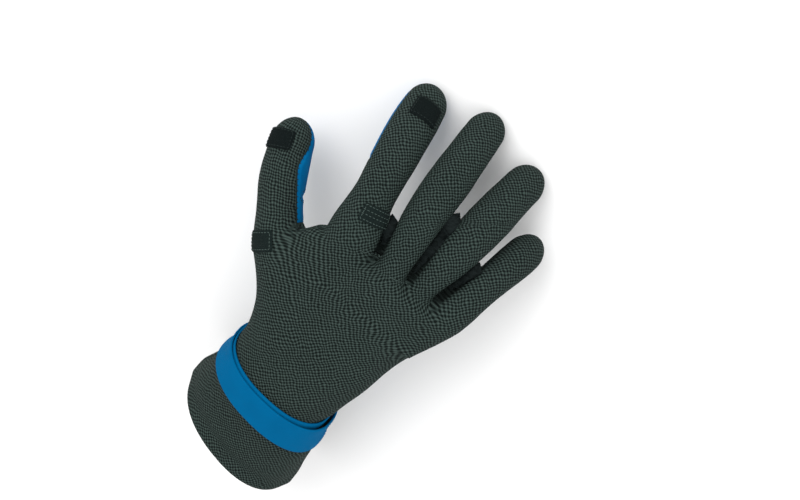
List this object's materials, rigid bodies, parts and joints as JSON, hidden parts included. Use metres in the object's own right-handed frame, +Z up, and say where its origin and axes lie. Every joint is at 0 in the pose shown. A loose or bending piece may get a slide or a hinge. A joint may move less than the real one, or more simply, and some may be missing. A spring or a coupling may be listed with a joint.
{
  "type": "fishing glove",
  "caption": "Right-hand neoprene glove with slit fold-back thumb and index tips, fastener patches and a wound wrist strap, lying palm down.",
  "frame": {"origin": "middle of the footprint, on the surface that the glove lies on", "axes": "+Z up out of the back of the hand, +Y from the cuff towards the finger tips, +X towards the little finger, so the thumb is at -X"},
  "size_m": [0.158, 0.2458, 0.0817],
  "materials": {
    "pitted_neoprene": "dark grey-green neoprene with a knitted face of small dark pits",
    "blue_neoprene": "smooth blue neoprene",
    "fastener_cloth": "black hook and loop fastener cloth",
    "blue_strap": "smooth blue stretch cloth over a thin foam core"
  },
  "bodies": {
    "root": {"back_panel": "pitted_neoprene", "palm_panel": "pitted_neoprene", "thumb_pad": "blue_neoprene", "index_pad": "blue_neoprene", "thumb_tip_patch": "fastener_cloth", "thumb_base_patch": "fastener_cloth", "index_tip_patch": "fastener_cloth", "index_base_patch": "fastener_cloth", "wrist_strap": "blue_strap", "strap_hook_tab": "fastener_cloth"}
  },
  "joints": []
}
